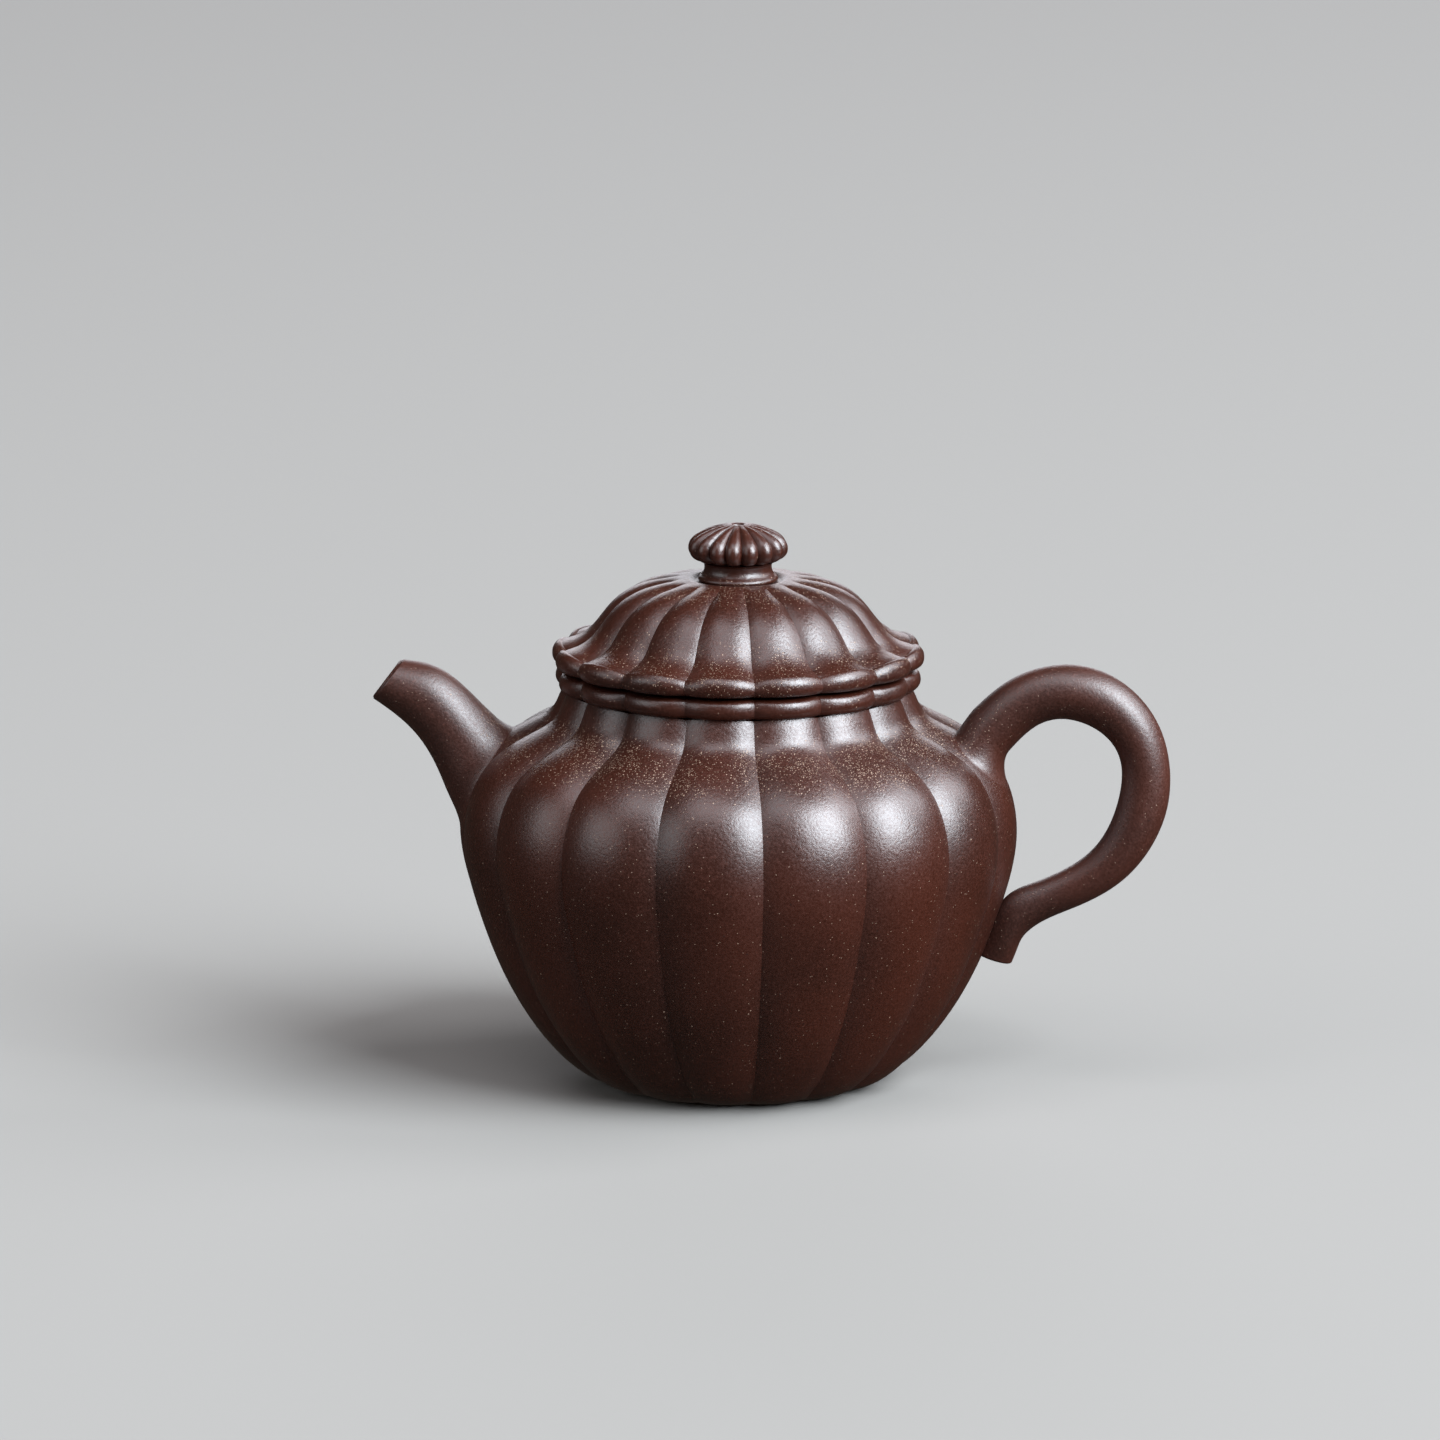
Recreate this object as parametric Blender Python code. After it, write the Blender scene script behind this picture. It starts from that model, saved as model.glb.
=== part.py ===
"""Ribbed clay teapot, modelled as the separate clay pieces that a potter joins.

Metres, +Z up. The origin is the middle of the base, on the pot's own axis. The handle is at +X and
the spout at -X, and the middle of one of the sixteen lobes faces each of them.
"""

import math

import bmesh
import bpy
from mathutils import Matrix, Vector

# ---- driving dimensions (millimetres, turned into metres by MM) ----
MM = 0.001
JOINT_GAP = 0.3  # the slip line between two luted pieces

LOBES = 16
SIDES_PER_LOBE = 4
LOBED_SIDES = LOBES * SIDES_PER_LOBE
PLAIN_SIDES = 32
BORE_SIDES = 16
SHARP_EDGE = math.radians(35)

BELLY_RIB_DEPTH = 1.4  # from the crest of a lobe to its groove
NECK_RIB_DEPTH = 1.0
RIM_RIB_DEPTH = 1.1  # straight towards the axis
KNOB_RIB_DEPTH = 0.9
KNOB_TOP_RIB_DEPTH = 0.15
WALL = 3.4  # at the crest of a lobe

# crest of a lobe of the belly, from the edge of the base to the root of the neck: (radius, height)
BELLY_CREST = (
    (21.2, 0.15), (25.6, 2.4), (31.3, 8.5), (36.4, 16.6), (40.3, 26.5), (42.6, 35.0),
    (42.9, 41.5), (41.5, 47.0), (38.3, 51.4), (34.2, 54.2), (30.3, 56.1),
)
NECK_CREST = ((30.0, 56.45), (28.5, 57.6), (27.6, 59.3), (26.6, 61.0))
NECK_BORE = 23.3  # radius
NECK_LAP = 1.2  # how far the collar reaches down inside the belly's edge
RIM_CREST = ((26.7, 61.35), (27.75, 61.7), (28.05, 62.7), (27.7, 63.8), (26.6, 64.25))
BASE_RADIUS = 20.3
BASE_THICKNESS = 3.2
BASE_EDGE = 0.5  # bevel round the foot
BASE_SLIP = 0.6  # how far the wall stands off the disc's edge
FOOT_RISE = 1.5  # from the disc's top to where the wall's inside begins

# the lid's rows are (radius, height) on the crest, then (radius, height) in the groove
LID_RIM_ROWS = (
    (26.9, 64.65, 25.8, 64.65), (28.2, 65.1, 27.1, 65.1),
    (28.6, 66.0, 27.5, 65.8), (28.0, 67.4, 27.0, 66.5),
)
LID_ROWS = (
    (27.8, 67.7, 26.9, 66.9), (27.1, 68.1, 26.5, 67.2), (25.3, 68.5, 25.0, 67.6), (23.9, 69.1, 23.4, 68.2),
    (23.0, 69.8, 22.2, 69.1), (21.8, 71.1, 21.1, 70.6), (20.0, 73.4, 19.4, 72.9), (18.5, 74.9, 18.0, 74.3),
    (16.9, 76.0, 16.5, 75.3), (14.3, 77.1, 14.1, 76.5), (11.7, 77.7, 11.6, 77.2), (9.6, 78.0, 9.6, 77.9),
    (6.8, 78.0, 6.8, 78.0),
)
LID_SEAT = 66.4  # underside of the dome, inside its rim
LID_WALL = 3.0  # at the crest of a lobe
FLANGE_RADIUS = 22.85
FLANGE_WALL = 1.6
FLANGE_BOTTOM = 58.4
FLANGE_BEVEL = (0.4, 0.5)  # inwards, upwards

STEM_OUTLINE = ((6.0, 78.3), (6.15, 78.55), (5.7, 78.9), (5.25, 79.4), (5.15, 80.0), (5.4, 80.5))
KNOB_CREST = (
    (5.0, 80.8), (6.6, 81.1), (7.45, 81.9), (7.65, 82.9), (7.2, 84.1), (6.0, 85.05), (4.4, 85.8),
    (2.8, 86.3), (1.4, 86.5),
)
VENT_RADIUS = 0.75
VENT_CHAMFER = (0.2, 0.1)  # outwards, downwards
VENT_THROAT = 0.8  # below the knob's top

# spout, seen from the side: (upper edge x, z), (lower edge x, z), half width
SPOUT_SECTIONS = (
    ((-29.0, 49.0), (-38.5, 35.0), 7.6),
    ((-33.6, 52.4), (-43.2, 37.8), 7.5),
    ((-36.2, 54.5), (-44.8, 43.2), 6.7),
    ((-39.8, 57.6), (-46.8, 48.0), 5.8),
    ((-43.6, 61.3), (-49.9, 52.9), 5.1),
    ((-47.6, 63.5), (-53.3, 55.9), 4.6),
    ((-52.3, 64.3), (-56.7, 58.3), 3.75),
)
SPOUT_WALL_ROOT = 2.1
SPOUT_WALL_TIP = 1.1

# handle, seen from the side: (outer edge x, z), (inner edge x, z), half width
HANDLE_SECTIONS = (
    ((29.0, 48.5), (36.5, 42.5), 5.0),
    ((33.6, 54.9), (41.3, 48.6), 4.9),
    ((36.9, 59.1), (42.2, 52.3), 4.4),
    ((42.4, 63.4), (45.6, 55.8), 4.2),
    ((50.2, 65.6), (50.0, 57.2), 4.2),
    ((58.6, 63.3), (55.2, 55.6), 4.1),
    ((64.6, 56.4), (58.3, 52.2), 3.9),
    ((66.5, 47.6), (59.0, 47.8), 3.75),
    ((64.6, 39.3), (57.7, 42.0), 3.6),
    ((59.4, 32.2), (54.6, 36.8), 3.35),
    ((52.4, 27.9), (49.8, 33.3), 3.1),
    ((47.4, 25.5), (45.6, 31.4), 3.1),
    ((44.3, 23.1), (41.6, 29.6), 3.2),
    ((43.1, 20.5), (38.6, 24.6), 2.6),
    ((42.4, 18.6), (37.0, 20.4), 1.6),
)
LOFT_STEPS = 2  # sections between two named ones
LOFT_SIDES = 16

# the strainer sits in a round window of the wall, square to the spout's root
WINDOW_CENTRE = (-38.2, 45.4)  # x, z
WINDOW_TILT = math.radians(29.0)  # above horizontal
WINDOW_RADIUS = 6.0
WINDOW_CUT = 8.0  # length of the cutter, through the wall
STRAINER_DOME = 6.6  # radius of the dome
STRAINER_WALL = 1.4
STRAINER_HOLE = 0.9
STRAINER_RING = 3.1  # radius of the circle of outer holes
STRAINER_HOLES = 6
STRAINER_LIP = 2.0  # height of the rim above the dome's edge circle
STRAINER_CUT = 14.0  # length of the pins that make the holes
DOME_STEPS = 4
HOLE_SIDES = 8

CLAY = (0.075, 0.026, 0.018, 1.0)
RAW_CLAY = (0.105, 0.040, 0.028, 1.0)


def clear_scene():
    for obj in list(bpy.data.objects):
        bpy.data.objects.remove(obj, do_unlink=True)


def clay(name, colour, roughness):
    material = bpy.data.materials.new(name)
    material.use_nodes = True
    shader = material.node_tree.nodes["Principled BSDF"]
    shader.inputs["Base Color"].default_value = colour
    shader.inputs["Roughness"].default_value = roughness
    shader.inputs["Metallic"].default_value = 0.0
    return material


# ---- curves ----
def smooth_curve(points, steps):
    """Points on a Catmull-Rom curve through the given tuples, with the given steps to each span."""
    ends = (2 * Vector(points[0]) - Vector(points[1]), 2 * Vector(points[-1]) - Vector(points[-2]))
    knots = [ends[0], *map(Vector, points), ends[1]]
    curve = []
    for a, b, c, d in zip(knots, knots[1:], knots[2:], knots[3:]):
        for step in range(steps):
            t = step / steps
            square = (2 * a - 5 * b + 4 * c - d) * t**2
            cube = (3 * b - a - 3 * c + d) * t**3
            curve.append(0.5 * (2 * b + (c - a) * t + square + cube))
    curve.append(knots[-2])
    return curve


def outward_normals(outline):
    """Unit normals of a (radius, height) outline, to the right as it runs."""
    normals = []
    for i in range(len(outline)):
        along = outline[min(i + 1, len(outline) - 1)] - outline[max(i - 1, 0)]
        normals.append(Vector((along.y, -along.x)).normalized())
    return normals


# ---- rings and skins ----
def bulge(angle):
    """1 on the crest of a lobe, 0 in a groove, and a parabola between."""
    across = math.remainder(angle * LOBES / math.tau, 1.0) * 2
    return 1 - across * across


def lobed_ring(crest, groove):
    """One ring of lobes, between a (radius, height) point on the crests and one in the grooves."""
    ring = []
    for i in range(LOBED_SIDES):
        angle = math.tau * i / LOBED_SIDES
        radius, height = groove.lerp(crest, bulge(angle))
        ring.append(Vector((radius * math.cos(angle), radius * math.sin(angle), height)) * MM)
    return ring


def row_rings(rows):
    return [lobed_ring(Vector(row[:2]), Vector(row[2:])) for row in rows]


def plain_ring(radius, height, sides=PLAIN_SIDES):
    angles = [math.tau * i / sides for i in range(sides)]
    return [Vector((radius * math.cos(a), radius * math.sin(a), height)) * MM for a in angles]


def lobed_rings(crest_points, depth, steps=1, end_depth=None):
    """Rings up a lobed outline, sunk along its normals. The ribs fade evenly from depth to end_depth."""
    crest = smooth_curve(crest_points, steps)
    last = depth if end_depth is None else end_depth
    fades = [depth + (last - depth) * i / (len(crest) - 1) for i in range(len(crest))]
    return [
        lobed_ring(point, point - normal * fade)
        for point, normal, fade in zip(crest, outward_normals(crest), fades)
    ]


def bridge(bm, low, high):
    """Faces from one ring of vertices to the next. One ring may have a multiple of the other's count."""
    if len(low) < len(high):
        coarse, fine, flip = low, high, True
    else:
        coarse, fine, flip = high, low, False
    ratio = len(fine) // len(coarse)
    for j in range(len(coarse)):
        this, following = coarse[j], coarse[(j + 1) % len(coarse)]
        fan = [fine[(j * ratio + k) % len(fine)] for k in range(ratio + 1)]
        if ratio == 1:
            faces = [(fan[0], fan[1], following, this)]
        else:
            middle = ratio // 2
            faces = [(fan[k], fan[k + 1], this) for k in range(middle)]
            faces.append((fan[middle], following, this))
            faces += [(fan[k], fan[k + 1], following) for k in range(middle, ratio)]
        for face in faces:
            bm.faces.new(reversed(face) if flip else face)


def skin(name, rings, closed):
    """An object skinned over rings: a hollow turned piece if closed, or a solid capped at both ends."""
    bm = bmesh.new()
    loops = [[bm.verts.new(point) for point in ring] for ring in rings]
    for low, high in zip(loops, loops[1:]):
        bridge(bm, low, high)
    if closed:
        bridge(bm, loops[-1], loops[0])
    else:
        bm.faces.new(reversed(loops[0]))
        bm.faces.new(loops[-1])
    bmesh.ops.recalc_face_normals(bm, faces=bm.faces)
    mesh = bpy.data.meshes.new(name)
    bm.to_mesh(mesh)
    bm.free()
    mesh.shade_smooth()
    mesh.set_sharp_from_angle(angle=SHARP_EDGE)
    obj = bpy.data.objects.new(name, mesh)
    bpy.context.scene.collection.objects.link(obj)
    return obj


def dress(obj, material):
    obj.data.materials.append(material)
    return obj


def as_cutter(obj):
    obj.hide_render = True
    obj.display_type = "WIRE"
    return obj


def cut(obj, cutter):
    modifier = obj.modifiers.new(cutter.name, "BOOLEAN")
    modifier.operation = "DIFFERENCE"
    modifier.solver = "EXACT"
    modifier.object = cutter


# ---- the pot ----
def body_wall(material):
    outer = lobed_rings(BELLY_CREST, BELLY_RIB_DEPTH, 2, NECK_RIB_DEPTH)
    crest = smooth_curve(BELLY_CREST, 1)
    inside = [point - normal * WALL for point, normal in zip(crest, outward_normals(crest))]
    floor = BASE_THICKNESS + FOOT_RISE
    inner = [plain_ring(radius, height) for radius, height in inside if height > floor + JOINT_GAP]
    foot = plain_ring(BASE_RADIUS + BASE_SLIP, floor)
    return dress(skin("body_wall", outer + inner[::-1] + [foot], True), material)


def base_disc(material):
    rings = [
        plain_ring(BASE_RADIUS - BASE_EDGE, 0.0),
        plain_ring(BASE_RADIUS, BASE_EDGE),
        plain_ring(BASE_RADIUS, BASE_THICKNESS),
    ]
    return dress(skin("base_disc", rings, False), material)


def neck_collar(material):
    outer = lobed_rings(NECK_CREST, NECK_RIB_DEPTH, 2)
    inner = [plain_ring(NECK_BORE, NECK_CREST[-1][1]), plain_ring(NECK_BORE, NECK_CREST[0][1] - NECK_LAP)]
    return dress(skin("neck_collar", outer + inner, True), material)


def mouth_rim(material):
    outer = row_rings([(radius, height, radius - RIM_RIB_DEPTH, height) for radius, height in RIM_CREST])
    top, bottom = RIM_CREST[-1][1], RIM_CREST[0][1]
    inner = [plain_ring(NECK_BORE, top), plain_ring(NECK_BORE, bottom)]
    return dress(skin("mouth_rim", outer + inner, True), material)


def section_ring(upper, lower, half_width, inset=0.0):
    """An oval between two edge points in the plane of the handle and spout."""
    upper, lower = Vector(upper), Vector(lower)
    middle = (upper + lower) / 2
    half = (upper - lower) / 2
    half *= 1 - inset / half.length
    side = half_width - inset
    ring = []
    for i in range(LOFT_SIDES):
        angle = math.tau * i / LOFT_SIDES
        x, z = middle + half * math.cos(angle)
        ring.append(Vector((x, side * math.sin(angle), z)) * MM)
    return ring


def loft_sections(sections):
    """The named sections with LOFT_STEPS - 1 smooth ones between each two."""
    rows = smooth_curve([(*upper, *lower, width) for upper, lower, width in sections], LOFT_STEPS)
    return [(row[0:2], row[2:4], row[4]) for row in rows]


def wall_envelope():
    """The outer surface of the belly and neck, swollen by the joint gap, to trim what is luted on."""
    outline = BELLY_CREST + NECK_CREST[1:]
    crest = smooth_curve(outline, 2)
    normals = outward_normals(crest)
    sunk = BELLY_RIB_DEPTH - JOINT_GAP
    rings = [
        lobed_ring(point + normal * JOINT_GAP, point - normal * sunk)
        for point, normal in zip(crest, normals)
    ]
    return as_cutter(skin("wall_envelope", rings, False))


def spout(material, envelope):
    rows = loft_sections(SPOUT_SECTIONS)
    outer = [section_ring(*row) for row in rows]
    last = len(rows) - 1
    walls = [SPOUT_WALL_ROOT + (SPOUT_WALL_TIP - SPOUT_WALL_ROOT) * i / last for i in range(len(rows))]
    inner = [section_ring(*row, wall) for row, wall in zip(rows, walls)]
    obj = dress(skin("spout", outer + inner[::-1], True), material)
    cut(obj, envelope)
    return obj


def handle(material, envelope):
    outer = [section_ring(*row) for row in loft_sections(HANDLE_SECTIONS)]
    obj = dress(skin("handle", outer, False), material)
    cut(obj, envelope)
    return obj


def window_frame():
    """Placement of the strainer: its own +Z points out along the spout's root."""
    centre = Vector((WINDOW_CENTRE[0], 0, WINDOW_CENTRE[1])) * MM
    turn = Matrix.Rotation(-(math.pi / 2 - WINDOW_TILT), 4, "Y")
    return Matrix.Translation(centre) @ turn


def window_cutter():
    half = WINDOW_CUT / 2
    rings = [plain_ring(WINDOW_RADIUS, -half), plain_ring(WINDOW_RADIUS, half)]
    cutter = as_cutter(skin("window_cutter", rings, False))
    cutter.matrix_world = window_frame()
    return cutter


def dome_rings(radius, edge, steps):
    """Rings of a dome that bulges down from its edge circle at height 0, ending near its apex."""
    centre_height = math.sqrt(radius**2 - edge**2)
    widest = math.asin(edge / radius)
    rings = []
    for step in range(steps):
        angle = widest * (1 - step / steps)
        rings.append(plain_ring(radius * math.sin(angle), centre_height - radius * math.cos(angle)))
    return rings


def strainer_holes():
    """Seven round pins in one cutter: one on the axis and a circle of six."""
    bm = bmesh.new()
    spots = [(0.0, 0.0)]
    for i in range(STRAINER_HOLES):
        angle = math.tau * i / STRAINER_HOLES
        spots.append((STRAINER_RING * math.cos(angle), STRAINER_RING * math.sin(angle)))
    for x, y in spots:
        bmesh.ops.create_cone(
            bm,
            cap_ends=True,
            segments=HOLE_SIDES,
            radius1=STRAINER_HOLE * MM,
            radius2=STRAINER_HOLE * MM,
            depth=STRAINER_CUT * MM,
            matrix=Matrix.Translation(Vector((x, y, 0)) * MM),
        )
    mesh = bpy.data.meshes.new("strainer_holes")
    bm.to_mesh(mesh)
    bm.free()
    obj = bpy.data.objects.new("strainer_holes", mesh)
    bpy.context.scene.collection.objects.link(obj)
    obj.matrix_world = window_frame()
    return as_cutter(obj)


def spout_strainer(material):
    edge = WINDOW_RADIUS - JOINT_GAP
    outside = dome_rings(STRAINER_DOME, edge, DOME_STEPS)
    inside = dome_rings(STRAINER_DOME - STRAINER_WALL, edge - STRAINER_WALL, DOME_STEPS)
    lip = [plain_ring(edge - STRAINER_WALL, STRAINER_LIP), plain_ring(edge, STRAINER_LIP)]
    obj = dress(skin("spout_strainer", inside[::-1] + lip + outside, False), material)
    obj.matrix_world = window_frame()
    cut(obj, strainer_holes())
    return obj


# ---- the lid ----
def lid_dome(material):
    crest = [Vector(row[:2]) for row in LID_ROWS]
    sunk = [point - normal * LID_WALL for point, normal in zip(crest, outward_normals(crest))]
    inside = [point for point in sunk if point.y > LID_SEAT + JOINT_GAP]
    inner = [plain_ring(radius, height) for radius, height in inside]
    top, ceiling = LID_ROWS[-1][1], inside[-1].y
    vent = [plain_ring(VENT_RADIUS, height, BORE_SIDES) for height in (top, ceiling)]
    seat = [plain_ring(FLANGE_RADIUS - FLANGE_WALL, LID_SEAT)]
    return dress(skin("lid_dome", row_rings(LID_ROWS) + vent + inner[::-1] + seat, True), material)


def lid_rim(material):
    bore = FLANGE_RADIUS + JOINT_GAP
    bottom = LID_RIM_ROWS[0][1]
    inner = [plain_ring(bore, LID_SEAT - JOINT_GAP), plain_ring(bore, bottom)]
    return dress(skin("lid_rim", row_rings(LID_RIM_ROWS) + inner, True), material)


def lid_flange(material):
    top = LID_SEAT - JOINT_GAP
    bore = FLANGE_RADIUS - FLANGE_WALL
    inwards, upwards = FLANGE_BEVEL
    rings = [
        plain_ring(FLANGE_RADIUS - inwards, FLANGE_BOTTOM),
        plain_ring(FLANGE_RADIUS, FLANGE_BOTTOM + upwards),
        plain_ring(FLANGE_RADIUS, top),
        plain_ring(bore, top),
        plain_ring(bore, FLANGE_BOTTOM),
    ]
    return dress(skin("lid_flange", rings, True), material)


def knob_stem(material):
    outer = [plain_ring(radius, height) for radius, height in smooth_curve(STEM_OUTLINE, 1)]
    bottom, top = STEM_OUTLINE[0][1], STEM_OUTLINE[-1][1]
    vent = [plain_ring(VENT_RADIUS, top, BORE_SIDES), plain_ring(VENT_RADIUS, bottom, BORE_SIDES)]
    return dress(skin("knob_stem", outer + vent, True), material)


def knob_button(material):
    outer = lobed_rings(KNOB_CREST, KNOB_RIB_DEPTH, 1, KNOB_TOP_RIB_DEPTH)
    bottom, top = KNOB_CREST[0][1], KNOB_CREST[-1][1]
    outwards, downwards = VENT_CHAMFER
    vent = [
        plain_ring(VENT_RADIUS + outwards, top - downwards, BORE_SIDES),
        plain_ring(VENT_RADIUS, top - VENT_THROAT, BORE_SIDES),
        plain_ring(VENT_RADIUS, bottom, BORE_SIDES),
    ]
    return dress(skin("knob_button", outer + vent, True), material)


def parent_to_empty(name, location, children):
    empty = bpy.data.objects.new(name, None)
    empty.location = location
    bpy.context.scene.collection.objects.link(empty)
    bpy.context.view_layer.update()
    for child in children:
        child.parent = empty
        child.matrix_parent_inverse = empty.matrix_world.inverted()
    return empty


def main():
    clear_scene()
    burnished = clay("clay_burnished", CLAY, 0.42)
    raw = clay("clay_raw", RAW_CLAY, 0.72)
    envelope = wall_envelope()

    wall = body_wall(burnished)
    cut(wall, window_cutter())
    fixed = [
        wall,
        base_disc(raw),
        neck_collar(burnished),
        mouth_rim(burnished),
        spout(burnished, envelope),
        spout_strainer(raw),
        handle(burnished, envelope),
    ]
    lid = [
        lid_dome(burnished),
        lid_rim(burnished),
        lid_flange(raw),
        knob_stem(burnished),
        knob_button(burnished),
    ]
    parent_to_empty("pot_axis", (0, 0, 0), fixed)
    parent_to_empty("lid_axis", (0, 0, LID_RIM_ROWS[0][1] * MM), lid)


main()
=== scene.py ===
"""The looks of a small ribbed clay teapot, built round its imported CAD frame.

Every visible piece is a fine mesh worked out here from a few outlines in millimetres, in the frame's
own axes: +Z up, the handle at +X, the spout at -X, the origin in the middle of the base.
"""

import math

import bpy
import numpy as np
from mathutils import Matrix, Vector


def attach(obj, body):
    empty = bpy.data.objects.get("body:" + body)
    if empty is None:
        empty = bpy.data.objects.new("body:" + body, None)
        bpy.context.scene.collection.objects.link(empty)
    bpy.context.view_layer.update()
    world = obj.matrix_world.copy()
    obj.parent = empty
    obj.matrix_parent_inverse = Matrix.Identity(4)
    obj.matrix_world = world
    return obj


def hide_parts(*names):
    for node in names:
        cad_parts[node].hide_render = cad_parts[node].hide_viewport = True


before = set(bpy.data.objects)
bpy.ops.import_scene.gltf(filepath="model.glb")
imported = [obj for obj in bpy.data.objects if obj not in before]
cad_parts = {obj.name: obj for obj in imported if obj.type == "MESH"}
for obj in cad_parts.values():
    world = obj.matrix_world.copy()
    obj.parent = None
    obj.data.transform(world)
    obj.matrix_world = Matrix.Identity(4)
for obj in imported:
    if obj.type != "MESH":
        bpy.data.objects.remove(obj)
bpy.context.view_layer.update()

MM = 0.001
POT, LID = "pot", "lid"
SHARP_EDGE = math.radians(35)

# ---- the ribs ----
LOBES = 16
STEPS_PER_LOBE = 20
VALLEY_POWER = 2.3  # how a lobe falls away to its grooves: higher is rounder, with a sharper groove
# depth of the belly's grooves below the crests, by height
BELLY_RIBS = ((0.0, 0.2), (2.0, 0.8), (8.0, 1.25), (30.0, 1.5), (48.0, 1.5), (55.0, 1.25), (61.0, 1.0))
INNER_RIBS = 0.35  # how faintly the ribs show inside

# ---- round outlines of the pot: (radius, height) ----
POT_CREST = (
    (20.2, 0.05), (22.6, 0.75), (25.8, 2.7), (31.3, 8.5), (37.0, 18.1), (40.7, 27.8), (42.9, 37.6),
    (42.3, 44.3), (39.3, 50.3), (34.4, 54.1), (30.9, 55.9), (28.6, 57.5), (27.6, 59.4), (26.75, 61.3),
)
POT_ROWS = 190
FINE_STEPS = 10  # finer rows in each of those, so that two can hug the seam
NECK_SEAM = 56.3  # height where the collar is luted on
POT_INSIDE = (
    (23.4, 56.3), (24.9, 54.7), (30.4, 52.3), (36.0, 48.2), (39.2, 42.0), (39.4, 35.0), (36.9, 25.5),
    (33.0, 16.5), (27.6, 8.6), (21.3, 4.2),
)
INSIDE_ROWS = 70
BASE_UNDERSIDE = ((0.4, 0.0), (10.0, 0.0), (19.4, 0.0), (19.9, 0.06), (20.25, 0.3), (20.3, 0.8))
BASE_TOP = ((20.6, 2.6), (20.2, 3.1), (19.0, 3.2), (10.0, 3.1), (0.4, 3.1))
MOUTH_BORE = 23.3
COLLAR_BORE = (61.2, 56.4)  # heights of its top and bottom
COLLAR_BORE_ROWS = 12
MOUTH_BEAD_BORE = ((23.9, 64.25), (23.45, 64.1), (MOUTH_BORE, 63.75), (MOUTH_BORE, 61.5), (23.6, 61.2))

# ---- round outlines of the lid: (radius, height) ----
VENT = 0.75
LID_BEAD_BORE = ((25.5, 66.3), (23.2, 66.3), (22.95, 66.1), (22.95, 64.95), (23.25, 64.65))
LID_VENT = ((VENT + 0.2, 77.8), (VENT, 77.5), (VENT, 75.0), (VENT + 0.3, 74.6))
LID_INSIDE = ((7.0, 74.6), (10.4, 74.2), (14.4, 72.9), (17.4, 70.7), (19.8, 68.0), (20.9, 66.9))
LID_INSIDE_ROWS = 30
LID_FOOT = ((21.1, 66.4), (23.0, 66.35), (25.6, 66.4))
FLANGE = (
    (22.8, 66.3), (22.85, 60.0), (22.6, 58.7), (22.0, 58.4), (21.4, 58.8), (21.25, 60.0), (21.25, 66.3),
)
FLANGE_ROWS = 60
STEM = (
    (6.05, 77.85), (6.15, 78.15), (6.0, 78.45), (5.65, 78.75),
    (5.3, 79.2), (5.15, 79.9), (5.3, 80.5), (5.8, 80.8),
)
STEM_ROWS = 36
STEM_VENT = ((VENT, 80.8), (VENT, 77.95))
KNOB_VENT = ((VENT, 84.0), (VENT, 80.75))

# ---- ribbed outlines: (radius, height) on the crest, then (radius, height) in the groove ----
MOUTH_BEAD = (
    (26.6, 61.2, 25.7, 61.2), (27.45, 61.5, 26.4, 61.5), (28.0, 62.2, 26.85, 62.2),
    (28.05, 63.1, 26.9, 63.1), (27.7, 63.85, 26.6, 63.85), (26.9, 64.25, 25.9, 64.25),
)
LID_BEAD = (
    (26.7, 64.65, 25.8, 64.65), (27.7, 64.8, 26.6, 64.8), (28.4, 65.3, 27.25, 65.25),
    (28.6, 66.1, 27.45, 65.8), (28.5, 66.9, 27.35, 66.35), (28.05, 67.6, 27.0, 66.85),
    (27.5, 67.95, 26.55, 67.1), (27.05, 67.85, 26.15, 67.0),
)
BEAD_ROWS = 26
LID_DOME = (
    (27.05, 67.85, 26.15, 67.0), (26.3, 68.1, 25.6, 67.3), (25.3, 68.4, 24.7, 67.6),
    (23.9, 69.1, 23.4, 68.2), (22.9, 69.9, 22.2, 69.1), (21.8, 71.1, 21.1, 70.6),
    (20.0, 73.4, 19.4, 72.9), (18.5, 74.9, 18.0, 74.3), (16.9, 76.0, 16.5, 75.3),
    (14.3, 77.1, 14.1, 76.5), (11.7, 77.7, 11.6, 77.2), (9.5, 78.0, 9.5, 77.85),
    (8.2, 78.1, 8.2, 78.1), (7.4, 78.1, 7.4, 78.1), (6.9, 77.9, 6.9, 77.9), (6.4, 77.6, 6.4, 77.6),
)
DOME_ROWS = 90
KNOB = (
    (4.6, 80.75, 4.6, 80.75), (6.0, 80.95, 5.4, 81.05), (7.05, 81.45, 6.1, 81.65), (7.6, 82.3, 6.5, 82.4),
    (7.6, 83.2, 6.55, 83.1), (7.1, 84.2, 6.2, 83.9), (6.0, 85.05, 5.3, 84.6), (4.6, 85.7, 4.15, 85.3),
    (3.0, 86.2, 2.8, 86.0), (1.7, 86.4, 1.6, 86.4), (0.95, 86.35, 0.95, 86.35), (0.75, 86.0, 0.75, 86.0),
)
KNOB_ROWS = 70

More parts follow.
